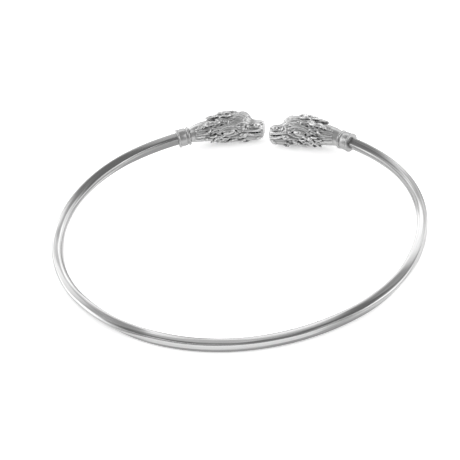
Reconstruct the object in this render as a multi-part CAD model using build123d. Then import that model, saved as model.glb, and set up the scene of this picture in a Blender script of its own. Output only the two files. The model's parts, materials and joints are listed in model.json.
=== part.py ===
# Open oval bangle of square silver wire, closed by two cast heads of a maned animal.
# It is drawn flat, with the oval's centre at the origin, its width along X and the heads at +Y,
# and then set down as it rests: on the front of the hoop and the lower side of the heads.
from build123d import *
from collections import namedtuple
from math import asin, atan2, cos, degrees, exp, hypot, pi, radians, sin
from numpy import interp, linspace
import os

# The oval that the middle of the wire follows, in millimetres
oval_width = 63.0
oval_depth = 54.2
side_radius = 24.4  # bend at the left and right, tighter than at the front and back
nose_gap = 1.2  # between the two noses, along the oval

# The wire
wire_side = 1.8
wire_corner = 0.45

# The collar that each wire end sits in: a round band with a rim at one end and a ridge at the other
collar_length = 2.3
band_diameter = 3.2
rim_diameter = 3.45
rim_length = 0.35
groove_diameter = 2.9
groove_length = 0.25
ridge_diameter = 3.4
ridge_length = 0.45
edge_rounding = 0.05
socket_depth = 1.9
socket_clearance = 0.05

# The head, from the collar to the nose
head_length = 13.8
crown_height = 2.75  # from the oval to the top of the head, under the mane's relief
jaw_depth = 2.6
head_width = 4.8
neck_overlap = 0.3  # how far the neck runs back into the collar

# How each head is set on its wire. The crown is turned from straight outwards towards the top of
# the bangle, in degrees, and the nose springs a little out of the oval, or into it.
left_crown_turn = 55.0
right_crown_turn = 41.0
left_nose_out = 0.7
right_nose_out = -0.7

# Relief of the casting
lock_pitch = 1.5  # from the tip of one mane lock to the next behind it
locks_a_side = 7
lock_relief = 0.45
tip_rise = 0.7  # share of a lock's relief that it gains from root to tip
tip_taper = 0.45  # share of a lock's width that it loses at its tip
lane_drift = 0.22  # how far the lanes drift down from the crown with each lock, in lanes
face_relief = 0.4
mane_blend = 0.35  # how far the mane takes to rise out of the neck and face

# Facets of each head
head_stations = 82
head_angles = 42

# The oval as four tangent arcs. The front and back arcs share one radius, which follows from the
# oval's two sizes and the side radius.
half_width = oval_width / 2
half_depth = oval_depth / 2
back_radius = (half_width**2 + half_depth**2 - 2 * half_width * side_radius) / (
    2 * (half_depth - side_radius)
)
side_centre = half_width - side_radius
back_centre = back_radius - half_depth
join_angle = atan2(side_centre, back_centre)  # from +Y, where a back arc meets a side arc
terminal_length = collar_length + head_length
nose_angle = nose_gap / 2 / back_radius
collar_angle = nose_angle + terminal_length / back_radius
wire_end_angle = collar_angle - socket_depth / back_radius + socket_clearance / back_radius

# Sections of the head, from the neck to the nose. "along" is a share of head_length, "up" of
# crown_height, "down" of jaw_depth and "wide" of half of head_width. "square" is 2 for an ellipse.
Section = namedtuple("Section", "along up down wide square")
sections = [
    Section(-0.05, 0.52, 0.44, 0.54, 2.0),
    Section(0.06, 0.60, 0.47, 0.60, 2.0),
    Section(0.14, 0.69, 0.58, 0.68, 2.0),
    Section(0.22, 0.80, 0.74, 0.78, 2.1),
    Section(0.32, 0.92, 0.82, 0.90, 2.1),
    Section(0.44, 0.99, 0.88, 0.98, 2.2),
    Section(0.56, 1.04, 0.93, 1.00, 2.2),
    Section(0.66, 1.03, 0.96, 0.97, 2.3),
    Section(0.74, 0.94, 0.99, 0.84, 2.3),
    Section(0.80, 0.70, 1.00, 0.72, 2.3),
    Section(0.86, 0.40, 0.98, 0.62, 2.5),
    Section(0.92, 0.33, 0.92, 0.61, 2.6),
    Section(0.96, 0.31, 0.87, 0.60, 2.6),
    Section(0.985, 0.24, 0.76, 0.50, 2.5),
    Section(1.00, 0.06, 0.54, 0.30, 2.3),
]
section_smoothing = (-0.02, -0.01, 0.0, 0.01, 0.02)

# Where the mane's front edge lies, as a share of head_length, at each level of the head. "level"
# is a share of crown_height: 1 at the crown, 0 on the oval, -1 near the bottom of the jaw.
ManeEdge = namedtuple("ManeEdge", "level front")
mane_edges = [
    ManeEdge(-1.0, 0.66),
    ManeEdge(-0.6, 0.62),
    ManeEdge(-0.3, 0.44),
    ManeEdge(0.3, 0.44),
    ManeEdge(0.6, 0.60),
    ManeEdge(1.0, 0.74),
]
mane_back = 0.19

# Features on each side of the face, raised or sunk. "along" and "long" are shares of head_length,
# "level" and "tall" of crown_height, "tilt" is in degrees and "raised" a share of face_relief.
Feature = namedtuple("Feature", "along level long tall tilt raised")
features = [
    Feature(0.600, -0.06, 0.150, 0.34, 4, -1.0),  # eye socket
    Feature(0.600, -0.06, 0.095, 0.19, 4, 1.5),  # eyeball
    Feature(0.580, 0.38, 0.120, 0.13, 14, 1.0),  # brow
    Feature(0.740, -0.52, 0.090, 0.24, 0, 0.7),  # cheek
    Feature(0.880, -0.18, 0.060, 0.16, 0, 0.5),  # upper lip
    Feature(0.915, 0.04, 0.020, 0.09, 0, -1.0),  # nostril
    Feature(0.930, -0.385, 0.090, 0.06, 0, -1.5),  # mouth
    Feature(0.890, -0.64, 0.080, 0.18, 0, 0.5),  # lower lip
]


def head_section(along):
    """A cross-section of the head, between the rows of the table and slightly smoothed."""
    columns = list(zip(*sections))
    near = [along + step for step in section_smoothing]
    return Section(*(interp(near, columns[0], column).mean() for column in columns))


def mane_height(along, level, angle):
    """Height of the mane's relief: lanes of locks, parted at the crown, that rise to their tips."""
    front = interp(level, *zip(*mane_edges))
    rows = max(front - along, 0) * head_length / lock_pitch
    from_crown = min(angle, 2 * pi - angle)
    lane = from_crown / pi * locks_a_side - lane_drift * rows
    along_lock = (rows + round(lane) % 2 / 2) % 1
    from_ridge = 2 * abs(lane - round(lane)) / (1 - tip_taper * along_lock**2)
    lock = (1 - tip_rise + tip_rise * along_lock) * max(1 - from_ridge**2, 0)
    inside = min(front - along, along - mane_back) * head_length / mane_blend
    return lock_relief * lock * min(max(inside, 0), 1)


def face_height(along, level):
    """Height of the face's relief: each feature is a soft oval bump or dent."""
    height = 0
    for feature in features:
        forward = (along - feature.along) * head_length
        upward = (level - feature.level) * crown_height
        lean = radians(feature.tilt)
        length = (forward * cos(lean) + upward * sin(lean)) / (feature.long * head_length)
        across = (upward * cos(lean) - forward * sin(lean)) / (feature.tall * crown_height)
        height += feature.raised * exp(-((length**2 + across**2) ** 2))
    return face_relief * height


def head_outline(along):
    """The points of one cross-section with its relief, as (up, across) from the oval."""
    section = head_section(along)
    top = section.up * crown_height
    bottom = -section.down * jaw_depth
    middle = (top + bottom) / 2
    tall = (top - bottom) / 2
    wide = section.wide * head_width / 2
    points = []
    for step in range(head_angles):
        angle = 2 * pi * step / head_angles
        up, across = cos(angle), sin(angle)
        reach = (abs(up) ** section.square + abs(across) ** section.square) ** (-1 / section.square)
        up, across = middle + tall * reach * up, wide * reach * across
        level = up / crown_height
        sideways = sin(angle) ** 2
        height = mane_height(along, level, angle) + sideways * face_height(along, level)
        away = hypot(up - middle, across)
        points.append((up + height * (up - middle) / away, across + height * across / away))
    return points


def place(side, from_nose, up=0, across=0, crown_turn=0, out=0):
    """A point of a terminal, on the left (-1) or right (1), in the oval's frame."""
    turn = radians(crown_turn)
    outward = out + up * cos(turn) - across * sin(turn)
    height = up * sin(turn) + across * cos(turn)
    angle = side * (nose_angle + from_nose / back_radius)
    radius = back_radius + outward
    return Vector(radius * sin(angle), radius * cos(angle) - back_centre, height)


def head_solid(side, crown_turn, nose_out):
    """The faceted head, from inside the collar to the nose."""
    rings = []
    for along in linspace(-neck_overlap / head_length, 1, head_stations + 1):
        from_nose = (1 - along) * head_length
        out = nose_out * max(along, 0)
        outline = head_outline(along)
        rings.append([place(side, from_nose, up, across, crown_turn, out) for up, across in outline])
    faces = [Face(Wire.make_polygon(ring)) for ring in (rings[0], rings[-1])]
    for ring, following in zip(rings, rings[1:]):
        for step in range(head_angles):
            a, b = ring[step - 1], ring[step]
            c, d = following[step], following[step - 1]
            faces += [Face(Wire.make_polygon([a, b, c])), Face(Wire.make_polygon([a, c, d]))]
    return Solid(Shell(faces))


def collar_solid(side):
    """The collar, turned round the oval's tangent at the collar's middle."""
    rim, band = rim_diameter / 2, band_diameter / 2
    groove, ridge = groove_diameter / 2, ridge_diameter / 2
    ridge_start = collar_length - ridge_length
    groove_start = ridge_start - groove_length
    with BuildSketch(Plane.XZ) as profile:
        with BuildLine():
            Polyline(
                (0, 0),
                (rim, 0),
                (rim, rim_length),
                (band, rim_length),
                (band, groove_start),
                (groove, groove_start),
                (groove, ridge_start),
                (ridge, ridge_start),
                (ridge, collar_length),
                (0, collar_length),
                close=True,
            )
        make_face()
        corners = [v for v in profile.vertices() if v.X > groove + edge_rounding]
        fillet(corners, edge_rounding)
    collar = revolve(profile.sketch, Axis.Z)
    wire_end = place(side, terminal_length)
    head_end = place(side, head_length)
    return Plane(wire_end, z_dir=head_end - wire_end) * collar


def wire_solid(thickness, corner, end_angle):
    """Wire of one thickness round the oval, open at the back between two end angles."""
    rims = []
    for offset in (thickness / 2, -thickness / 2):
        back = back_radius + offset
        sides = side_radius + offset
        arcs = [
            (0, -back_centre, back, end_angle, join_angle),
            (side_centre, 0, sides, join_angle, pi - join_angle),
            (0, back_centre, back, pi - join_angle, pi + join_angle),
            (-side_centre, 0, sides, pi + join_angle, 2 * pi - join_angle),
            (0, -back_centre, back, 2 * pi - join_angle, 2 * pi - end_angle),
        ]
        rims.append(
            [
                CenterArc((x, y), radius, 90 - degrees(start), -degrees(end - start))
                for x, y, radius, start, end in arcs
            ]
        )
    outer, inner = rims
    ends = [Line(outer[0] @ 0, inner[0] @ 0), Line(outer[-1] @ 1, inner[-1] @ 1)]
    outline = Face(Wire(outer + inner + ends))
    wire = Pos(0, 0, -thickness / 2) * extrude(outline, thickness, dir=(0, 0, 1))
    return fillet(wire.edges().filter_by(GeomType.CIRCLE), corner)


hoop = wire_solid(wire_side, wire_corner, wire_end_angle)
socket = wire_solid(
    wire_side + 2 * socket_clearance, wire_corner, collar_angle - socket_depth / back_radius
)


def lowest_corner_tilt(head):
    """The turn about X that sets both the head's lowest corner and the hoop's front down."""
    tilts = []
    for corner in head.vertices():
        back = corner.Y + half_depth + wire_side / 2 - wire_corner
        up = corner.Z + wire_side / 2 - wire_corner
        tilts.append(asin(-wire_corner / hypot(back, up)) - atan2(up, back))
    return max(tilts)


heads = {
    "left_head": head_solid(-1, left_crown_turn, left_nose_out) + collar_solid(-1) - socket,
    "right_head": head_solid(1, right_crown_turn, right_nose_out) + collar_solid(1) - socket,
}
pieces = {"hoop": hoop, **heads}

# Set down on the floor, with the origin under the middle of the whole
rest_tilt = max(lowest_corner_tilt(head) for head in heads.values())
resting = {name: Rot(degrees(rest_tilt), 0, 0) * piece for name, piece in pieces.items()}
box = Compound(children=[piece.solids()[0] for piece in resting.values()]).bounding_box()
to_origin = Pos(-box.center().X, -box.center().Y, -box.min.Z)

os.makedirs("parts", exist_ok=True)
for name, piece in resting.items():
    export_step(to_origin * piece, f"parts/{name}.step")
print("rest tilt", round(degrees(rest_tilt), 2), "size", box.size)
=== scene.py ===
import bpy
import json
import random
from math import asin, atan2, cos, degrees, hypot, pi, radians, sin
from mathutils import Matrix, Vector, noise
from mathutils.bvhtree import BVHTree

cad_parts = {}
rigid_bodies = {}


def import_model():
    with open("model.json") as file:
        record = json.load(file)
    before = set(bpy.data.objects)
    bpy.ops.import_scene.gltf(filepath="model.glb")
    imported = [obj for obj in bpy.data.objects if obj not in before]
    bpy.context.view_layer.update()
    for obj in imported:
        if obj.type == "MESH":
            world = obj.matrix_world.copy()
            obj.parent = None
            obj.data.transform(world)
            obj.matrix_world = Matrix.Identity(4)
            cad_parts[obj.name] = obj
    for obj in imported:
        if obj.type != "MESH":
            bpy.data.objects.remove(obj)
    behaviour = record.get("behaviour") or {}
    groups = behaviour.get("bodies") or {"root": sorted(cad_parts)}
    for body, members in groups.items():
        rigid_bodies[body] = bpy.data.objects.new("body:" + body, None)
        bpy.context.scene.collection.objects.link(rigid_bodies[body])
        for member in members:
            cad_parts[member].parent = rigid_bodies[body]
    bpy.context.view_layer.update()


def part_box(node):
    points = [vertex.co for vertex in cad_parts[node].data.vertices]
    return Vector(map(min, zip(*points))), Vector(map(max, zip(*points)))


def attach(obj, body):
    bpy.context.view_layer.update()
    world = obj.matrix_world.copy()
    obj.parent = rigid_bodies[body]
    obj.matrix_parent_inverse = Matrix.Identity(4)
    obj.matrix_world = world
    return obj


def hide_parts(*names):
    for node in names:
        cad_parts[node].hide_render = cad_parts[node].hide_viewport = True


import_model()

# The hoop
# One length of square silver wire with softened corners, drawn through a die, bent cold round an
# oval former and polished along its length. Its two ends sit in the collars of the heads.
OVAL_WIDTH = 63.0
OVAL_DEPTH = 54.2
SIDE_RADIUS = 24.4
WIRE_SIDE = 1.8
WIRE_CORNER = 0.45
WIRE_POINTS = 48
WIRE_SQUARENESS = 4.6  # 2 is round wire, and a large value is sharp square wire
WIRE_ROLL = [
    # clock angle from the back, degrees the bending rolled the wire's top inward
    (0, 22),
    (44, 22),
    (84, -5),
    (100, -6),
    (116, -24),
    (134, -10),
    (150, 2),
    (172, 8),
    (190, 4),
    (207, -24),
    (222, -14),
    (240, -5),
    (250, -6),
    (270, 12),
    (290, 24),
    (306, 20),
    (330, 4),
    (360, 4),
]
NOSE_GAP = 1.2
HEAD_LENGTH = 13.8
COLLAR_LENGTH = 2.3
SOCKET_DEPTH = 1.85
ARC_STEP = radians(1.5)
WIRE_CREASE = radians(40)  # sharper edges than this stay sharp
SEAM = 0.001  # points closer than this, in millimetres, are made one
MM = 0.001

HALF_DEPTH = OVAL_DEPTH / 2
BACK_RADIUS = (OVAL_WIDTH**2 / 4 + HALF_DEPTH**2 - OVAL_WIDTH * SIDE_RADIUS) / (
    2 * (HALF_DEPTH - SIDE_RADIUS)
)
SIDE_CENTRE = OVAL_WIDTH / 2 - SIDE_RADIUS
BACK_CENTRE = BACK_RADIUS - HALF_DEPTH
JOIN_ANGLE = atan2(SIDE_CENTRE, BACK_CENTRE)
COLLAR_ANGLE = (NOSE_GAP / 2 + HEAD_LENGTH + COLLAR_LENGTH) / BACK_RADIUS
WIRE_END_ANGLE = COLLAR_ANGLE - SOCKET_DEPTH / BACK_RADIUS
HALF_ROUND = 2 * BACK_RADIUS * JOIN_ANGLE + SIDE_RADIUS * (pi - 2 * JOIN_ANGLE)

# Everything is modelled flat, in millimetres, and set down tilted as the frame has it: the front
# of the hoop stands on its lower corner, and the hoop's own box gives the tilt.
hoop_low, hoop_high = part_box("hoop")
foot_reach = HALF_DEPTH + WIRE_SIDE / 2 - WIRE_CORNER
corner_level = WIRE_SIDE / 2 - WIRE_CORNER
back_reach = (BACK_RADIUS + corner_level) * cos(WIRE_END_ANGLE) - BACK_CENTRE
rise = 2 * corner_level
rest_tilt = asin((hoop_high.z / MM - 2 * WIRE_CORNER) / hypot(foot_reach + back_reach, rise)) - atan2(
    rise, foot_reach + back_reach
)
middle = Vector(
    (
        0,
        hoop_low.y / MM + foot_reach * cos(rest_tilt) + corner_level * sin(rest_tilt) + WIRE_CORNER,
        foot_reach * sin(rest_tilt) + corner_level * cos(rest_tilt) + WIRE_CORNER,
    )
)
SET_DOWN = Matrix.Scale(MM, 4) @ Matrix.Translation(middle) @ Matrix.Rotation(rest_tilt, 4, "X")


def linear(hex_colour):
    """The linear colour of an sRGB hex value."""
    channels = [int(hex_colour[place : place + 2], 16) / 255 for place in (1, 3, 5)]
    return [c / 12.92 if c <= 0.04045 else ((c + 0.055) / 1.055) ** 2.4 for c in channels] + [1.0]


def add_node(tree, kind, inputs, **settings):
    """Adds one node with its settings, and the values or links of its inputs."""
    made = tree.nodes.new(kind)
    for name, value in settings.items():
        setattr(made, name, value)
    for socket, value in inputs.items():
        if isinstance(value, bpy.types.NodeSocket):
            tree.links.new(value, made.inputs[socket])
        else:
            made.inputs[socket].default_value = value
    return made


bpy.ops.object.select_all(action="DESELECT")
bpy.ops.mesh.primitive_circle_add(vertices=WIRE_POINTS, radius=WIRE_SIDE / 2, fill_type="NGON")
hoop = bpy.context.object
hoop.name = "silver_wire_hoop"
for vertex in hoop.data.vertices:
    across, up = abs(vertex.co.x) * 2 / WIRE_SIDE, abs(vertex.co.y) * 2 / WIRE_SIDE
    vertex.co *= (across**WIRE_SQUARENESS + up**WIRE_SQUARENESS) ** (-1 / WIRE_SQUARENESS)
wire_end_way = Vector((sin(WIRE_END_ANGLE), cos(WIRE_END_ANGLE), 0))
hoop.location = BACK_RADIUS * wire_end_way - Vector((0, BACK_CENTRE, 0))
hoop.rotation_euler = (pi / 2, 0, pi / 2 - WIRE_END_ANGLE)
bpy.ops.object.transform_apply()
bpy.ops.object.mode_set(mode="EDIT")
bpy.ops.mesh.select_all(action="SELECT")
spins = [
    # centre of the bend, angle
    ((0, -BACK_CENTRE, 0), JOIN_ANGLE - WIRE_END_ANGLE),
    ((SIDE_CENTRE, 0, 0), pi - 2 * JOIN_ANGLE),
    ((0, BACK_CENTRE, 0), 2 * JOIN_ANGLE),
    ((-SIDE_CENTRE, 0, 0), pi - 2 * JOIN_ANGLE),
    ((0, -BACK_CENTRE, 0), JOIN_ANGLE - WIRE_END_ANGLE),
]
for centre, angle in spins:
    bpy.ops.mesh.spin(steps=round(angle / ARC_STEP), angle=angle, center=centre, axis=(0, 0, 1))
bpy.ops.mesh.select_all(action="SELECT")
bpy.ops.mesh.remove_doubles(threshold=SEAM)
bpy.ops.mesh.normals_make_consistent(inside=False)
bpy.ops.object.mode_set(mode="OBJECT")


def wire_place(at):
    """The centre and radius of the bend at a place on the wire, the clock angle and the length to it."""
    side_angle = atan2(abs(at.x) - SIDE_CENTRE, at.y)
    if JOIN_ANGLE < side_angle < pi - JOIN_ANGLE:
        centre, radius = Vector((SIDE_CENTRE if at.x > 0 else -SIDE_CENTRE, 0, 0)), SIDE_RADIUS
    else:
        centre, radius = Vector((0, -BACK_CENTRE if at.y > 0 else BACK_CENTRE, 0)), BACK_RADIUS
    clock = atan2(at.x, at.y - centre.y) if radius == BACK_RADIUS else atan2(at.x - centre.x, at.y)
    clock %= 2 * pi
    front_start = pi - JOIN_ANGLE
    half = min(clock, 2 * pi - clock)
    length = BACK_RADIUS * (min(half, JOIN_ANGLE) + max(half - front_start, 0))
    length += SIDE_RADIUS * max(min(half, front_start) - JOIN_ANGLE, 0)
    return centre, radius, clock, length if clock < pi else 2 * HALF_ROUND - length


def wire_roll(clock):
    """How far the wire is rolled at a clock angle, in radians, easing from one value to the next."""
    for (low, first), (high, second) in zip(WIRE_ROLL, WIRE_ROLL[1:]):
        if degrees(clock) <= high:
            share = (degrees(clock) - low) / (high - low)
            return radians(first + (second - first) * share * share * (3 - 2 * share))
    return 0.0


wire_grain = hoop.data.attributes.new("wire_grain", "FLOAT_VECTOR", "POINT")
for vertex in hoop.data.vertices:
    centre, radius, clock, length = wire_place(vertex.co)
    outward = Vector((sin(clock), cos(clock), 0))
    away, height = (vertex.co - centre).dot(outward) - radius, vertex.co.z
    wire_grain.data[vertex.index].vector = (length, away, height)
    roll = -wire_roll(clock)
    rolled = (away * cos(roll) + height * sin(roll), height * cos(roll) - away * sin(roll))
    vertex.co = centre + outward * (radius + rolled[0]) + Vector((0, 0, rolled[1]))
hoop.data.transform(SET_DOWN)
bpy.ops.object.shade_smooth_by_angle(angle=WIRE_CREASE)
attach(hoop, "root")
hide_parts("hoop")

# Drawn silver, rubbed bright along the wire: it mirrors the room in long bands, which hairlines
# break up. Soft streaks of tarnish that the wheel missed lie over it, heaviest near the heads, and the
# lower corners are darkened too, as painted shade where the wire sits close to the floor. The patterns
# are counted along, out from and up the wire.
HAIRLINES_PER_MM = Vector((0.15, 9.0, 9.0))
HAIRLINE_DEPTH = 0.05
STREAKS_PER_MM = Vector((0.05, 1.5, 1.5))
DULL_FROM = 46.0  # millimetres along the wire from the middle of the front
DULL_TO = 60.0
# The painted shade on the wire's lower corners comes in between these heights up the wire
LOW_CORNER_SHADE_FROM = -0.08
LOW_CORNER_SHADE_TO = -0.36
silver = bpy.data.materials.new("silver wire, drawn and polished lengthwise")
silver.use_nodes = True
tree = silver.node_tree
shader = tree.nodes["Principled BSDF"]
shader.inputs["Metallic"].default_value = 1
grain = add_node(tree, "ShaderNodeAttribute", {}, attribute_name="wire_grain")
fine_place = add_node(
    tree, "ShaderNodeVectorMath", {0: grain.outputs["Vector"], 1: HAIRLINES_PER_MM}, operation="MULTIPLY"
)
hairline = add_node(
    tree, "ShaderNodeTexNoise", {"Vector": fine_place.outputs[0], "Scale": 1.0, "Detail": 3.0}
)
rubbed = add_node(
    tree,
    "ShaderNodeMapRange",
    {"Value": hairline.outputs[0], "From Min": 0.3, "From Max": 0.7, "To Min": 0.13, "To Max": 0.24},
)
tree.links.new(rubbed.outputs[0], shader.inputs["Roughness"])
scratched = add_node(
    tree,
    "ShaderNodeBump",
    {"Height": hairline.outputs[0], "Strength": 0.12, "Distance": HAIRLINE_DEPTH * MM},
)
tree.links.new(scratched.outputs[0], shader.inputs["Normal"])
streak_place = add_node(
    tree, "ShaderNodeVectorMath", {0: grain.outputs["Vector"], 1: STREAKS_PER_MM}, operation="MULTIPLY"
)
streak = add_node(
    tree, "ShaderNodeTexNoise", {"Vector": streak_place.outputs[0], "Scale": 1.0, "Detail": 2.0}
)
grain_parts = add_node(tree, "ShaderNodeSeparateXYZ", {0: grain.outputs["Vector"]})
past_front = add_node(
    tree, "ShaderNodeMath", {0: grain_parts.outputs[0], 1: HALF_ROUND}, operation="SUBTRACT"
)
from_front = add_node(tree, "ShaderNodeMath", {0: past_front.outputs[0]}, operation="ABSOLUTE")
near_head = add_node(
    tree,
    "ShaderNodeMapRange",
    {"Value": from_front.outputs[0], "From Min": DULL_FROM, "From Max": DULL_TO, "To Max": 0.15},
    interpolation_type="SMOOTHSTEP",
)
duller = add_node(
    tree, "ShaderNodeMath", {0: streak.outputs[0], 1: near_head.outputs[0]}, operation="ADD"
)
missed = add_node(
    tree,
    "ShaderNodeMapRange",
    {"Value": duller.outputs[0], "From Min": 0.42, "From Max": 0.6},
    interpolation_type="SMOOTHSTEP",
)
# Painted shade: the wire's lower corners take the darker colour, for the shade close to the floor
low_corner_painted_shade = add_node(
    tree,
    "ShaderNodeMapRange",
    {"Value": grain_parts.outputs[2], "From Min": LOW_CORNER_SHADE_FROM, "From Max": LOW_CORNER_SHADE_TO},
    interpolation_type="SMOOTHSTEP",
)
# The darker colour goes where there is tarnish or painted shade, whichever is more
tarnish_and_painted_shade = add_node(
    tree, "ShaderNodeMath", {0: missed.outputs[0], 1: low_corner_painted_shade.outputs[0]}, operation="MAXIMUM"
)
colour = add_node(
    tree,
    "ShaderNodeMix",
    {0: tarnish_and_painted_shade.outputs[0], 6: linear("#C0C0C0"), 7: linear("#8C8C8C")},
    data_type="RGBA",
)
tree.links.new(colour.outputs[2], shader.inputs["Base Color"])
hoop.data.materials.append(silver)

# The heads
# One silver casting for each end of the wire, cast solid from a carved model and finished by
# hand: the high places polished, the black of the oxide left in the hollows of the mane.
HEAD_TURNS = {
    # side of the hoop, degrees the crown is turned outward, how far the nose is sprung outward
    "left": (-1, 55.0, 0.7),
    "right": (1, 41.0, -0.7),
}
RING_POINTS = 20
BODY_RINGS = [
    # forward, top, bottom, half width
    (1.9, 1.1, -1.05, 1.05),
    (2.4, 1.4, -1.3, 1.25),
    (3.2, 1.75, -1.5, 1.5),
    (4.2, 1.9, -1.65, 1.65),
    (5.2, 1.98, -1.8, 1.8),
    (6.4, 2.1, -1.95, 1.95),
    (8.0, 2.3, -2.1, 2.15),
    (9.5, 2.5, -2.25, 2.25),
    (11.0, 2.65, -2.4, 2.25),
    (12.0, 2.75, -2.6, 2.15),
    (12.7, 2.65, -2.8, 2.0),
    (13.2, 2.15, -2.9, 1.8),
    (13.6, 1.2, -2.9, 1.65),
    (14.3, 0.98, -2.75, 1.55),
    (15.1, 0.92, -2.6, 1.45),
    (15.7, 0.8, -2.3, 1.25),
    (16.05, 0.45, -1.8, 0.9),
]


def apply_modifier(piece, kind, **settings):
    """Adds a modifier to a piece and applies it."""
    modifier = piece.modifiers.new(kind, kind)
    for name, value in settings.items():
        setattr(modifier, name, value)
    bpy.context.view_layer.objects.active = piece
    bpy.ops.object.modifier_apply(modifier=modifier.name)


def on_hoop(side, forward, across=0.0, up=0.0, crown_turn=0.0, nose_out=0.0):
    """A point of a head or collar, on the left (-1) or right (1) end of the wire, in metres."""
    turn = radians(crown_turn)
    out = nose_out * max((forward - COLLAR_LENGTH) / HEAD_LENGTH, 0)
    outward = out + up * cos(turn) - across * sin(turn)
    height = up * sin(turn) + across * cos(turn)
    angle = side * (COLLAR_ANGLE - forward / BACK_RADIUS)
    radius = BACK_RADIUS + outward
    return SET_DOWN @ Vector((radius * sin(angle), radius * cos(angle) - BACK_CENTRE, height))


def flat_disc(points):
    """A disc of unit radius that faces along X."""
    bpy.ops.object.select_all(action="DESELECT")
    bpy.ops.mesh.primitive_circle_add(vertices=points, radius=1, fill_type="NGON", rotation=(0, pi / 2, 0))
    bpy.ops.object.transform_apply()
    return bpy.context.object


def draw_out(rings):
    """Draws the active disc out ring by ring. A ring is its middle, half width and half height."""
    bpy.ops.object.mode_set(mode="EDIT")
    last_middle, last_width, last_height = Vector((0, 0, 0)), 1.0, 1.0
    for index, (middle, half_width, half_height) in enumerate(rings):
        if index:
            bpy.ops.mesh.extrude_region_move(TRANSFORM_OT_translate={"value": middle - last_middle})
        else:
            bpy.ops.transform.translate(value=middle)
        stretch = (1, half_width / last_width, half_height / last_height)
        bpy.ops.transform.resize(value=stretch, center_override=middle)
        last_middle, last_width, last_height = middle, half_width, half_height
    bpy.ops.mesh.select_all(action="SELECT")
    bpy.ops.mesh.normals_make_consistent(inside=False)
    bpy.ops.object.mode_set(mode="OBJECT")


body = flat_disc(RING_POINTS)
body.name = "head_body"
draw_out(
    [
        (Vector((forward, 0, (top + bottom) / 2)), half_width, (top - bottom) / 2)
        for forward, top, bottom, half_width in BODY_RINGS
    ]
)
apply_modifier(body, "SUBSURF", levels=2, render_levels=2)

EYE_CORNERS = [
    # forward, across, up, long, wide, tall, tilt
    (11.1, 2.12, -0.64, 0.32, 0.44, 0.21, -22),
    (8.35, 2.14, -0.8, 0.33, 0.44, 0.22, 22),
]
# Hollows cut into each side: the eye's socket and its two corners, the ear's hollow, the corner
# behind the eye, the fold behind the muzzle in two, the two whisker folds, nostril, jaw crease
HOLLOWS = [
    # forward, across, up, long, wide, tall, tilt
    (9.7, 2.4, -0.6, 2.2, 0.65, 0.95, 3),
    *EYE_CORNERS,
    (8.75, 2.12, 0.95, 0.85, 0.35, 0.24, 24),
    (7.75, 2.2, -0.15, 0.55, 0.3, 0.13, -50),
    (12.95, 2.1, 0.0, 0.2, 0.4, 0.55, -18),
    (13.15, 2.05, -0.45, 0.18, 0.4, 0.4, 20),
    (14.7, 1.5, 0.66, 0.8, 0.3, 0.09, 6),
    (14.5, 1.62, -0.6, 0.95, 0.3, 0.1, 0),
    (15.75, 0.85, 0.1, 0.26, 0.3, 0.18, -30),
    (13.2, 1.8, -2.1, 0.9, 0.3, 0.16, 8),
]
MOUTH = [
    # forward, up, half height
    (12.7, -1.22, 0.03),
    (13.4, -1.31, 0.08),
    (14.2, -1.36, 0.12),
    (15.2, -1.3, 0.13),
    (16.6, -1.2, 0.18),
]
TONGUE_HALF_WIDTH = 1.08  # the slit of the mouth is cut from each side as far in as this
MOUTH_REACH = 4.0
OUTSIDE = 6.0  # further out than any place on the head
MIDDLE_UP = 0.1  # the height that the angles round the head are measured at
BLOB_POINTS = 24


def blob(forward, across, up, long, wide, tall, tilt):
    """A rounded lump, longest along the head, tilted nose up."""
    bpy.ops.object.select_all(action="DESELECT")
    bpy.ops.mesh.primitive_uv_sphere_add(segments=BLOB_POINTS, ring_count=BLOB_POINTS // 2, radius=1)
    lump = bpy.context.object
    turn = Matrix.Rotation(-radians(tilt), 4, "Y")
    stretch = Matrix.Diagonal((long, wide, tall, 1))
    lump.data.transform(Matrix.Translation((forward, across, up)) @ turn @ stretch)
    return lump


def cut(piece, cutter):
    """Cuts one solid out of another."""
    apply_modifier(piece, "BOOLEAN", object=cutter, operation="DIFFERENCE", solver="EXACT")
    bpy.data.objects.remove(cutter)


for forward, across, up, long, wide, tall, tilt in HOLLOWS:
    for side in (1, -1):
        cut(body, blob(forward, side * across, up, long, wide, tall, tilt))
for side in (1, -1):
    inner = side * TONGUE_HALF_WIDTH
    rim = [Vector((forward, inner, up - half_height)) for forward, up, half_height in MOUTH]
    rim += [Vector((forward, inner, up + half_height)) for forward, up, half_height in reversed(MOUTH)]
    mouth = bpy.data.objects.new("mouth", bpy.data.meshes.new("mouth"))
    mouth.data.from_pydata(rim, [], [list(range(len(rim)))])
    bpy.context.collection.objects.link(mouth)
    bpy.ops.object.select_all(action="DESELECT")
    mouth.select_set(True)
    bpy.context.view_layer.objects.active = mouth
    bpy.ops.object.mode_set(mode="EDIT")
    bpy.ops.mesh.select_all(action="SELECT")
    bpy.ops.mesh.extrude_region_move(TRANSFORM_OT_translate={"value": (0, side * MOUTH_REACH, 0)})
    bpy.ops.mesh.select_all(action="SELECT")
    bpy.ops.mesh.normals_make_consistent(inside=False)
    bpy.ops.object.mode_set(mode="OBJECT")
    cut(body, mouth)

skin = BVHTree.FromPolygons(
    [vertex.co.copy() for vertex in body.data.vertices], [list(face.vertices) for face in body.data.polygons]
)


def on_skin(forward, angle):
    """The place and outward direction of the body's surface, at an angle from the crown."""
    out = Vector((0, sin(angle), cos(angle)))
    place, facing, _, _ = skin.ray_cast(Vector((forward, 0, MIDDLE_UP)) + out * OUTSIDE, -out)
    return place, facing


def on_cheek(forward, up):
    """The place and outward direction of the near side of the body, seen from the side."""
    place, facing, _, _ = skin.ray_cast(Vector((forward, OUTSIDE, up)), Vector((0, -1, 0)))
    return place, facing


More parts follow.
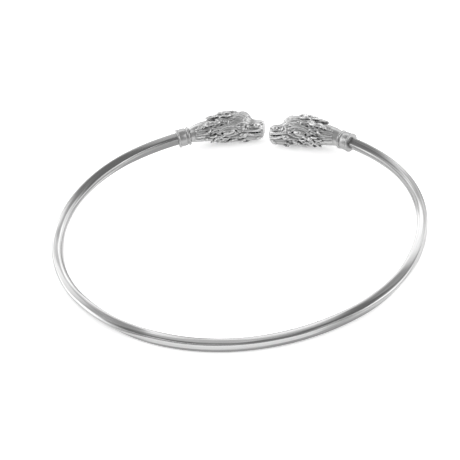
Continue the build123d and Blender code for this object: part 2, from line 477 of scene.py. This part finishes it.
def ridge(points, find, lift=0.0):
    """A raised line of the casting. A point is the two measures that find takes, and a half thickness."""
    data = bpy.data.curves.new("ridge", "CURVE")
    data.dimensions = "3D"
    data.bevel_depth = 1.0
    data.bevel_resolution = 2
    data.use_fill_caps = True
    spline = data.splines.new("NURBS")
    spline.points.add(len(points) - 1)
    for point, (first, second, thick) in zip(spline.points, points):
        place, facing = find(first, second)
        point.co = (*(place + facing * lift), 1)
        point.radius = thick
    spline.order_u = 4
    spline.use_endpoint_u = True
    made = bpy.data.objects.new("ridge", data)
    bpy.context.collection.objects.link(made)
    bpy.ops.object.select_all(action="DESELECT")
    made.select_set(True)
    bpy.context.view_layer.objects.active = made
    bpy.ops.object.convert(target="MESH")
    return bpy.context.object


# Lumps of the face: eyeball, nose pad, whisker pad, cheek and chin
LUMPS = [
    # forward, across, up, long, wide, tall, tilt
    (9.6, 1.8, -0.62, 1.4, 0.45, 0.6, 3),
    (15.6, 0.0, 0.2, 0.42, 0.9, 0.52, -20),
    (14.75, 1.0, -0.05, 0.75, 0.72, 0.55, 4),
    (12.3, 1.35, -1.55, 0.8, 0.75, 0.5, -10),
    (15.0, 0.0, -2.25, 0.8, 1.05, 0.45, 15),
]
# The eyeball's own hollows: the pupil, and the two corners once more
PUPIL = (9.7, 2.3, -0.66, 0.2, 0.22, 0.19, 0)
details = [blob(*lump) for lump in LUMPS]
eyeball = details[0]
for hollow in [PUPIL, *EYE_CORNERS]:
    cut(eyeball, blob(*hollow))
RIDGES = [
    # forward, up, half thickness: upper lid and lower lid
    [
        (11.8, -0.85, 0.1),
        (11.2, -0.3, 0.17),
        (10.3, 0.1, 0.2),
        (9.2, 0.1, 0.2),
        (8.3, -0.2, 0.17),
        (7.5, -0.7, 0.09),
    ],
    [
        (11.9, -0.9, 0.1),
        (11.0, -1.2, 0.2),
        (10.0, -1.42, 0.23),
        (8.9, -1.34, 0.21),
        (8.1, -1.0, 0.15),
        (7.4, -0.7, 0.09),
    ],
    # rim of the iris
    [
        (10.35, -0.48, 0.07),
        (9.9, -0.25, 0.1),
        (9.35, -0.32, 0.1),
        (9.1, -0.68, 0.1),
        (9.35, -1.02, 0.09),
        (9.95, -1.08, 0.07),
    ],
    # fold over the eye, brow
    [(11.8, 0.05, 0.1), (10.9, 0.45, 0.17), (9.8, 0.5, 0.17), (8.8, 0.3, 0.13), (8.1, 0.0, 0.08)],
    [(13.5, 0.3, 0.14), (12.9, 0.65, 0.26), (12.1, 0.9, 0.3), (11.1, 1.0, 0.26), (10.2, 0.95, 0.16)],
    # upper lip, lower lip, jaw fold
    [(15.9, -0.72, 0.12), (15.1, -0.82, 0.2), (14.1, -0.9, 0.2), (13.1, -0.85, 0.18), (12.2, -0.9, 0.12)],
    [(15.8, -1.7, 0.12), (15.0, -1.8, 0.18), (14.1, -1.85, 0.18), (13.1, -1.65, 0.16), (12.2, -1.25, 0.1)],
    [(15.3, -2.25, 0.1), (14.5, -2.45, 0.17), (13.6, -2.5, 0.17), (12.7, -2.35, 0.12)],
    # cheek folds under the eye
    [(12.3, -1.3, 0.14), (11.7, -1.65, 0.24), (10.9, -1.85, 0.22), (10.0, -1.9, 0.12)],
    [(10.6, -1.72, 0.1), (9.6, -1.85, 0.2), (8.7, -1.75, 0.2), (7.8, -1.3, 0.14), (7.2, -0.95, 0.08)],
    # whisker folds behind the nose
    [(15.3, 0.35, 0.1), (14.8, 0.45, 0.14), (14.2, 0.4, 0.14), (13.7, 0.15, 0.1)],
    [(15.4, -0.1, 0.08), (14.8, -0.02, 0.13), (14.2, -0.05, 0.12), (13.6, -0.25, 0.08)],
    [(15.4, -0.45, 0.08), (14.8, -0.4, 0.13), (14.2, -0.45, 0.12), (13.7, -0.55, 0.08)],
    # ear: front rim over the top to the tip, and the lower rim
    [
        (9.8, 0.7, 0.14),
        (9.75, 1.35, 0.24),
        (9.1, 1.72, 0.3),
        (8.2, 1.55, 0.28),
        (7.3, 1.0, 0.2),
        (6.6, 0.3, 0.1),
    ],
    [(9.7, 0.7, 0.1), (8.9, 0.55, 0.15), (8.0, 0.42, 0.15), (7.2, 0.35, 0.12), (6.6, 0.25, 0.08)],
    # four wisps behind the eye, then one each under the brow, behind the muzzle and on the cheek
    [(7.9, 0.25, 0.08), (7.2, 0.1, 0.16), (6.5, -0.1, 0.16), (5.8, -0.5, 0.08)],
    [(7.4, -0.3, 0.08), (6.8, -0.4, 0.17), (6.1, -0.75, 0.17), (5.5, -1.2, 0.08)],
    [(7.2, 0.75, 0.08), (6.5, 0.65, 0.17), (5.8, 0.35, 0.17), (5.1, 0.1, 0.08)],
    [(6.4, 0.25, 0.08), (5.8, 0.05, 0.17), (5.1, -0.3, 0.17), (4.5, -0.5, 0.08)],
    [(11.9, 0.45, 0.08), (11.2, 0.68, 0.13), (10.4, 0.72, 0.13), (9.9, 0.6, 0.08)],
    [(12.6, 0.3, 0.08), (12.2, -0.1, 0.14), (12.3, -0.55, 0.12), (12.5, -0.85, 0.08)],
    [(7.1, -0.8, 0.08), (6.6, -1.0, 0.18), (6.0, -1.25, 0.16), (5.6, -1.45, 0.08)],
]
for points in RIDGES:
    details.append(ridge(points, on_cheek))
FANGS = [
    # forward, across, root, tip, radius
    (15.15, 1.12, -0.8, -1.45, 0.17),
    (14.55, 1.2, -1.75, -1.15, 0.16),
]
FANG_POINTS = 12
FANG_TIP = 0.25  # the blunt tip's radius as a share of the root's
for forward, across, root, tip, radius in FANGS:
    bpy.ops.object.select_all(action="DESELECT")
    bpy.ops.mesh.primitive_cone_add(
        vertices=FANG_POINTS, radius1=radius, radius2=radius * FANG_TIP, depth=abs(tip - root)
    )
    fang = bpy.context.object
    if tip < root:
        fang.data.transform(Matrix.Rotation(pi, 4, "X"))
    fang.data.transform(Matrix.Translation((forward, across, (root + tip) / 2)))
    details.append(fang)

# One lock of the mane, modelled once: a curved tapering tress of grooved strands, its tip raised
LOCK_RINGS = [
    # back, rise, half width, half height, sway
    (0.0, -0.2, 0.2, 0.2, 0.0),
    (0.3, 0.0, 0.38, 0.28, 0.1),
    (0.7, 0.1, 0.45, 0.32, 0.2),
    (1.1, 0.16, 0.44, 0.31, 0.2),
    (1.5, 0.22, 0.38, 0.28, 0.08),
    (1.85, 0.26, 0.31, 0.23, -0.1),
    (2.1, 0.27, 0.22, 0.17, -0.26),
    (2.25, 0.26, 0.1, 0.08, -0.36),
]
STRANDS = 8
GROOVE = 0.66  # the radius at the grooves between the strands, as a share of the whole
lock = flat_disc(2 * STRANDS)
for vertex in list(lock.data.vertices)[::2]:
    vertex.co *= GROOVE
draw_out(
    [
        (Vector((back, sway, rise)), half_width, half_height)
        for back, rise, half_width, half_height, sway in LOCK_RINGS
    ]
)
apply_modifier(lock, "SUBSURF", levels=1, render_levels=1)

MANE_EDGES = [
    # angle from the crown in degrees, forward edge and rear edge of the mane
    (0, 11.4, 7.2),
    (30, 10.4, 6.9),
    (48, 8.9, 6.4),
    (62, 7.2, 6.3),
    (80, 6.4, 6.4),
    (105, 6.9, 6.9),
    (125, 8.9, 7.0),
    (150, 11.2, 7.4),
    (180, 12.2, 8.2),
]
BEARD_EDGES = [
    # the same for the beard
    (138, 13.2, 12.2),
    (180, 13.2, 12.2),
]
COATS = [
    # edges, first angle, last angle, lanes, row pitch, long, wide, tall, lean down, lift, crown lift
    (MANE_EDGES, 0, 180, 15, 0.95, 0.88, 0.72, 1.0, 20, 1.0, 6.0),
    (BEARD_EDGES, 138, 176, 3, 0.8, 0.6, 0.6, 0.7, 30, 4.0, 0.0),
]
CROWN_LANES = 3  # the lanes whose tips are lifted more
LEAST_LEAN = 0.3  # radians from the crown
LANE_SHAKE = 3.0
LEAN_SHAKE = 14.0
LIFT_SHAKE = (-4.0, 5.0)
SIZE_SHAKE = (0.85, 1.15)


def edges_at(edges, degrees_from_crown):
    """How far forward and how far back a coat reaches, at an angle from the crown."""
    for (low, *first), (high, *second) in zip(edges, edges[1:]):
        if degrees_from_crown <= high:
            share = (degrees_from_crown - low) / (high - low)
            return [near + (far - near) * share for near, far in zip(first, second)]
    return edges[-1][1:]


def set_lock(forward, angle, lean, tip_lift, long, wide, tall):
    """Copies the lock onto the skin, its tip leaning down from straight back. Wide < 0 mirrors it."""
    place, facing = on_skin(forward, angle)
    downward = Vector((0, cos(angle), -sin(angle)))
    tip_way = Vector((-1, 0, 0)) * cos(lean) + downward * sin(lean)
    tip_way = (tip_way - facing * tip_way.dot(facing)).normalized()
    turn = Matrix((tip_way, facing.cross(tip_way), facing)).transposed().to_4x4()
    turn = turn @ Matrix.Rotation(-radians(tip_lift), 4, "Y")
    tress = lock.copy()
    tress.data = lock.data.copy()
    bpy.context.collection.objects.link(tress)
    tress.data.transform(Matrix.Translation(place) @ turn @ Matrix.Diagonal((long, wide, tall, 1)))
    if wide < 0:
        tress.data.flip_normals()
    return tress


SEED = 7
draw = random.Random(SEED)
# Fine strands that lie close: combed back over the brow, and waving down the neck
STRANDS_LYING = [
    # first forward, last forward, first angle, last angle, run back, run round, half thickness, wave, count
    (13.6, 12.6, 2, 68, 3.1, 34, 0.18, 2, 9),
    (11.2, 10.4, 14, 52, 1.8, 14, 0.17, 3, 5),
    (7.0, 6.4, 36, 70, 2.8, 8, 0.15, 5, 4),
    (6.2, 5.6, 72, 150, 2.5, -10, 0.17, 7, 8),
]
STRAND_BENDS = [
    # share of the run back, share of the run round, sway, thickness
    (0.0, 0.0, 0, 0.9),
    (0.25, 0.2, 1, 1.0),
    (0.5, 0.45, -1, 1.1),
    (0.75, 0.75, 1, 1.0),
    (1.0, 1.0, 0, 0.5),
]
STRAND_SHAKE = 0.1
STRAND_TURN = 2.0
WAVE_SHAKE = (0.6, 1.2)
STRAND_LIFT = 0.03
for first, last, first_angle, last_angle, back_run, round_run, thick, wave, count in STRANDS_LYING:
    for index in range(count):
        share = index / (count - 1)
        forward = first + (last - first) * share + draw.uniform(-STRAND_SHAKE, STRAND_SHAKE)
        angle = first_angle + (last_angle - first_angle) * share + draw.uniform(-STRAND_TURN, STRAND_TURN)
        sway = draw.uniform(*WAVE_SHAKE) * wave
        points = [
            (forward - back_run * back, radians(angle + round_run * around + sway * bend), thick * stout)
            for back, around, bend, stout in STRAND_BENDS
        ]
        details.append(ridge(points, on_skin, lift=STRAND_LIFT))

for edges, first_angle, last_angle, lanes, pitch, long, wide, tall, lean_down, lift, crown_lift in COATS:
    for lane in range(lanes):
        lane_angle = first_angle + (last_angle - first_angle) * lane / (lanes - 1)
        front, rear = edges_at(edges, lane_angle)
        forward = front - pitch * (lane % 2) / 2
        while forward > rear:
            angle = radians(lane_angle + draw.uniform(-LANE_SHAKE, LANE_SHAKE))
            lean = lean_down * sin(max(angle, LEAST_LEAN)) + draw.uniform(-LEAN_SHAKE, LEAN_SHAKE)
            tip_lift = lift + (crown_lift if lane < CROWN_LANES else 0.0) + draw.uniform(*LIFT_SHAKE)
            scale = draw.uniform(*SIZE_SHAKE)
            width = draw.choice((-1, 1)) * wide * scale
            height = tall * draw.uniform(*SIZE_SHAKE)
            details.append(set_lock(forward, angle, radians(lean), tip_lift, long * scale, width, height))
            forward -= pitch * draw.uniform(*SIZE_SHAKE)

for detail in details:
    apply_modifier(detail, "MIRROR", use_axis=(False, True, False), use_mirror_merge=False)
bpy.ops.object.select_all(action="DESELECT")
for detail in details:
    detail.select_set(True)
body.select_set(True)
bpy.context.view_layer.objects.active = body
bpy.ops.object.join()

# Cast silver, oxidised and then polished by hand: the oxide leaves the hollows nearly black and dull,
# the wheel leaves the high places bright, and soft pits and grains of the cast skin blur both
GRAINS_PER_MM = 7.0
PIT_DEPTH = 0.05
BLACK_BELOW = -0.12
BRIGHT_ABOVE = 0.07
cast = bpy.data.materials.new("cast silver, polished and oxidised")
cast.use_nodes = True
tree = cast.node_tree
shader = tree.nodes["Principled BSDF"]
shader.inputs["Metallic"].default_value = 1
# The relief carries the oxide in the hollows and also the painted shade of the beard under the head
height = add_node(tree, "ShaderNodeAttribute", {}, attribute_name="relief")
bare = add_node(
    tree,
    "ShaderNodeMapRange",
    {"Value": height.outputs["Fac"], "From Min": BLACK_BELOW, "From Max": BRIGHT_ABOVE},
    interpolation_type="SMOOTHSTEP",
)
colour = add_node(
    tree,
    "ShaderNodeMix",
    {0: bare.outputs[0], 6: linear("#262627"), 7: linear("#C6C6C6")},
    data_type="RGBA",
)
tree.links.new(colour.outputs[2], shader.inputs["Base Color"])
gloss = add_node(tree, "ShaderNodeMapRange", {"Value": bare.outputs[0], "To Min": 0.5, "To Max": 0.26})
tree.links.new(gloss.outputs[0], shader.inputs["Roughness"])
spot = add_node(tree, "ShaderNodeTexCoord", {})
grit = add_node(
    tree,
    "ShaderNodeTexNoise",
    {"Vector": spot.outputs["Object"], "Scale": GRAINS_PER_MM / MM, "Detail": 2.0},
)
pitted = add_node(
    tree, "ShaderNodeBump", {"Height": grit.outputs[0], "Strength": 0.35, "Distance": PIT_DEPTH * MM}
)
tree.links.new(pitted.outputs[0], shader.inputs["Normal"])

# The tufts that stand up on the crown differ from head to head
TUFTS = {
    # forward, angle from the crown in degrees, long, wide, tall, lift of the tip
    "left": [
        (9.9, 8, 0.75, 1.1, 1.15, 7),
        (8.8, -2, 0.66, 1.0, 1.05, 5),
    ],
    "right": [
        (11.0, 6, 0.74, 1.2, 1.3, 12),
        (9.9, 0, 0.74, 1.2, 1.3, 12),
        (8.8, 8, 0.7, 1.2, 1.25, 10),
        (7.9, 4, 0.6, 1.1, 1.15, 7),
    ],
}
# The surface is made anew in small even faces, fine enough for strokes of fur 0.25 mm apart, which
# are chased over the whole casting but the eyeballs, the nose and the neck by the collar
FACE_SIZE = 0.068
FUR_DEPTH = 0.08
FUR_SLANT = 0.55  # change along a stroke, for a millimetre forward
FUR_SWIRL = 1.3  # and for a radian round the head
FUR_STROKES = 9.0  # change across the strokes, for a radian round the head
FUR_TWIST = 0.9  # and for a millimetre forward
EYE = Vector((9.6, 2.0, -0.62))
EYE_REACH = 1.1
EYE_FADE = 0.4
NOSE_START = 15.4
NECK_END = 4.0
NECK_FADE = 1.5
SMOOTH_STEPS = 2
# The oxide stays where the surface is low beside the same casting smoothed all over, and the beard
# below BEARD_TOP is darkened a little more, as painted shade on the underside of the head
ALL_OVER_STEPS = 110
BEARD_PAINTED_SHADE = 0.015
BEARD_TOP = -1.2


def clamp(share):
    """A share kept between nothing and all."""
    return min(max(share, 0.0), 1.0)


def drop_specks(casting):
    """Deletes the specks of air closed off inside a casting: all that its nose isn't joined to."""
    bpy.ops.object.mode_set(mode="EDIT")
    bpy.ops.mesh.select_all(action="DESELECT")
    bpy.ops.object.mode_set(mode="OBJECT")
    nose_tip = max(casting.data.vertices, key=lambda vertex: vertex.co.x)
    nose_tip.select = True
    bpy.ops.object.mode_set(mode="EDIT")
    bpy.ops.mesh.select_mode(type="VERT")
    bpy.ops.mesh.select_linked()
    bpy.ops.mesh.select_all(action="INVERT")
    bpy.ops.mesh.delete(type="VERT")
    bpy.ops.object.mode_set(mode="OBJECT")


def chase_fur(casting):
    """Raises and sinks the surface in strokes that sweep back and down from the crown."""
    chased = []
    for vertex in casting.data.vertices:
        forward, across, high = vertex.co
        angle = atan2(abs(across), high)
        sweep = forward * FUR_SLANT + angle * FUR_SWIRL
        stroke = noise.noise(Vector((sweep, angle * FUR_STROKES - forward * FUR_TWIST, 0.0)))
        from_eye = (Vector((forward, abs(across), high)) - EYE).length - EYE_REACH
        depth = FUR_DEPTH * clamp(from_eye / EYE_FADE)
        depth *= clamp(NOSE_START - forward) * clamp((forward - NECK_END) / NECK_FADE)
        chased.extend(vertex.co + vertex.normal * stroke * depth)
    casting.data.vertices.foreach_set("co", chased)
    casting.data.update()


def mark_relief(casting):
    """Marks on each place how far it stands above the same casting smoothed all over, lowered a little in
    the beard as painted shade on the underside.
    """
    smooth = casting.copy()
    smooth.data = casting.data.copy()
    bpy.context.collection.objects.link(smooth)
    apply_modifier(smooth, "SMOOTH", factor=0.5, iterations=ALL_OVER_STEPS)
    # Below BEARD_TOP each height is lowered a little more, so the beard comes out darker: painted shade
    # under the head
    heights = [
        (carved.co - even.co).dot(carved.normal) - BEARD_PAINTED_SHADE * clamp(BEARD_TOP - carved.co.z)
        for carved, even in zip(casting.data.vertices, smooth.data.vertices)
    ]
    relief = casting.data.attributes.new("relief", "FLOAT", "POINT")
    relief.data.foreach_set("value", heights)
    bpy.data.objects.remove(smooth)


for name, (side, crown_turn, nose_out) in HEAD_TURNS.items():
    head = body.copy()
    head.data = body.data.copy()
    head.name = name + "_animal_head"
    bpy.context.collection.objects.link(head)
    bpy.ops.object.select_all(action="DESELECT")
    for forward, lane_angle, long, wide, tall, tip_lift in TUFTS[name]:
        tuft = set_lock(forward, radians(lane_angle), 0.0, tip_lift, long, wide, tall)
        tuft.select_set(True)
    head.select_set(True)
    bpy.context.view_layer.objects.active = head
    bpy.ops.object.join()
    apply_modifier(head, "REMESH", mode="VOXEL", voxel_size=FACE_SIZE)
    drop_specks(head)
    apply_modifier(head, "SMOOTH", factor=0.5, iterations=SMOOTH_STEPS)
    chase_fur(head)
    mark_relief(head)
    for vertex in head.data.vertices:
        vertex.co = on_hoop(side, *vertex.co, crown_turn, nose_out)
    if side < 0:
        head.data.flip_normals()
    head.data.shade_smooth()
    head.data.materials.append(cast)
    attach(head, "root")
    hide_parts(name + "_head")
bpy.data.objects.remove(body)
bpy.data.objects.remove(lock)

# The collars
# A short silver tube soldered to each head, turned with a bead rim at the wire's end and a raised
# ring over a groove at the head's end. The wire is pushed in and soldered.
COLLAR_PROFILE = [
    # forward, radius
    (0.0, 1.1),
    (0.0, 1.62),
    (0.06, 1.7),
    (0.17, 1.725),
    (0.28, 1.7),
    (0.35, 1.62),
    (0.4, 1.58),
    (0.5, 1.6),
    (1.0, 1.61),
    (1.5, 1.6),
    (1.6, 1.57),
    (1.65, 1.47),
    (1.72, 1.45),
    (1.8, 1.47),
    (1.87, 1.62),
    (1.97, 1.69),
    (2.08, 1.7),
    (2.2, 1.68),
    (2.28, 1.58),
    (2.3, 1.2),
]
COLLAR_POINTS = 64
COLLAR_CREASE = radians(50)
collar = flat_disc(COLLAR_POINTS)
draw_out([(Vector((forward, 0, 0)), radius, radius) for forward, radius in COLLAR_PROFILE])
for name, (side, _, _) in HEAD_TURNS.items():
    ring = collar.copy()
    ring.data = collar.data.copy()
    ring.name = name + "_collar"
    bpy.context.collection.objects.link(ring)
    for vertex in ring.data.vertices:
        vertex.co = on_hoop(side, *vertex.co)
    if side < 0:
        ring.data.flip_normals()
    ring.data.materials.append(cast)
    bpy.ops.object.select_all(action="DESELECT")
    ring.select_set(True)
    bpy.context.view_layer.objects.active = ring
    bpy.ops.object.shade_smooth_by_angle(angle=COLLAR_CREASE)
    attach(ring, "root")
    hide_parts(name + "_head")
bpy.data.objects.remove(collar)

# The floor and the light
# Matt white paper that glows a little, so that it stays as white as the room and shows only the
# softest shadow, under a dim even room with softboxes all round.
FLOOR_SIZE = 4.0
bpy.ops.object.select_all(action="DESELECT")
bpy.ops.mesh.primitive_plane_add(size=FLOOR_SIZE)
floor = bpy.context.object
floor.name = "floor"
paper = bpy.data.materials.new("white paper, matt")
paper.use_nodes = True
paper_shader = paper.node_tree.nodes["Principled BSDF"]
paper_shader.inputs["Base Color"].default_value = linear("#FAFAFA")
paper_shader.inputs["Roughness"].default_value = 0.9
paper_shader.inputs["Emission Color"].default_value = linear("#FFFFFF")
paper_shader.inputs["Emission Strength"].default_value = 0.4
floor.data.materials.append(paper)

world = bpy.data.worlds.new("studio with softboxes")
bpy.context.scene.world = world
world.use_nodes = True
tree = world.node_tree
toward = add_node(tree, "ShaderNodeTexCoord", {})
ROOM_BRIGHTNESS = 0.48
SOFTBOXES = [
    # name, azimuth clockwise from the back, elevation, half width, soft edge, brightness
    ("behind", -19, 34, 11, 14, 1.0),
    ("behind_left", -48, 34, 11, 14, 1.0),
    ("behind_right", 12, 36, 11, 14, 1.0),
    ("left_back", -54, 12, 14, 14, 1.0),
    ("right_back", 50, 12, 16, 16, 1.3),
    ("left", -95, 22, 16, 14, 1.9),
    ("right", 95, 22, 16, 14, 1.9),
    ("left_front", -128, 50, 8, 6, 2.2),
    ("right_front", 120, 48, 8, 6, 2.2),
]
total = ROOM_BRIGHTNESS
for name, azimuth, elevation, half_width, edge, brightness in SOFTBOXES:
    azimuth, elevation = radians(azimuth), radians(elevation)
    aim = (sin(azimuth) * cos(elevation), cos(azimuth) * cos(elevation), sin(elevation))
    nearness = add_node(
        tree, "ShaderNodeVectorMath", {0: toward.outputs["Generated"], 1: aim}, operation="DOT_PRODUCT"
    )
    glow = add_node(
        tree,
        "ShaderNodeMapRange",
        {
            "Value": nearness.outputs["Value"],
            "From Min": cos(radians(half_width + edge)),
            "From Max": cos(radians(half_width)),
            "To Max": brightness,
        },
        interpolation_type="SMOOTHSTEP",
    )
    glow.label = name
    total = add_node(tree, "ShaderNodeMath", {0: glow.outputs[0], 1: total}, operation="ADD").outputs[0]
tree.links.new(total, tree.nodes["Background"].inputs["Strength"])
tree.nodes["Background"].inputs["Color"].default_value = linear("#FFFFFF")

# The camera
# A long lens at the photograph's angle, fitted to the oval of the hoop and to the collars. The
# middle of the oval lies at OVAL_CENTRE_PX in the photograph's frame of FRAME_PX a side.
VIEW_DISTANCE = 295.3
VIEW_AZIMUTH = radians(19.54)
VIEW_ELEVATION = radians(42.0)
VIEW_ROLL = radians(11.25)
PIXELS_PER_MM = 5.861
OVAL_CENTRE_PX = Vector((237.3, 228.92))
FRAME_PX = 460
NEAREST_SEEN = 0.01
back = Vector(
    (
        sin(VIEW_AZIMUTH) * cos(VIEW_ELEVATION),
        -cos(VIEW_AZIMUTH) * cos(VIEW_ELEVATION),
        sin(VIEW_ELEVATION),
    )
)
sideways = Vector((cos(VIEW_AZIMUTH), sin(VIEW_AZIMUTH), 0))
upright = back.cross(sideways)
right = sideways * cos(VIEW_ROLL) - upright * sin(VIEW_ROLL)
up = sideways * sin(VIEW_ROLL) + upright * cos(VIEW_ROLL)
pan = (Vector((FRAME_PX / 2, FRAME_PX / 2)) - OVAL_CENTRE_PX) / PIXELS_PER_MM
stand = back * VIEW_DISTANCE + right * pan.x - up * pan.y
bpy.ops.object.select_all(action="DESELECT")
bpy.ops.object.camera_add()
camera = bpy.context.object
camera.matrix_world = (
    Matrix.Translation(SET_DOWN @ stand)
    @ Matrix.Rotation(rest_tilt, 4, "X")
    @ Matrix((right, up, back)).transposed().to_4x4()
)
camera.data.lens = camera.data.sensor_width * VIEW_DISTANCE * PIXELS_PER_MM / FRAME_PX
camera.data.clip_start = NEAREST_SEEN
bpy.context.scene.camera = camera
bpy.context.scene.view_settings.view_transform = "Standard"
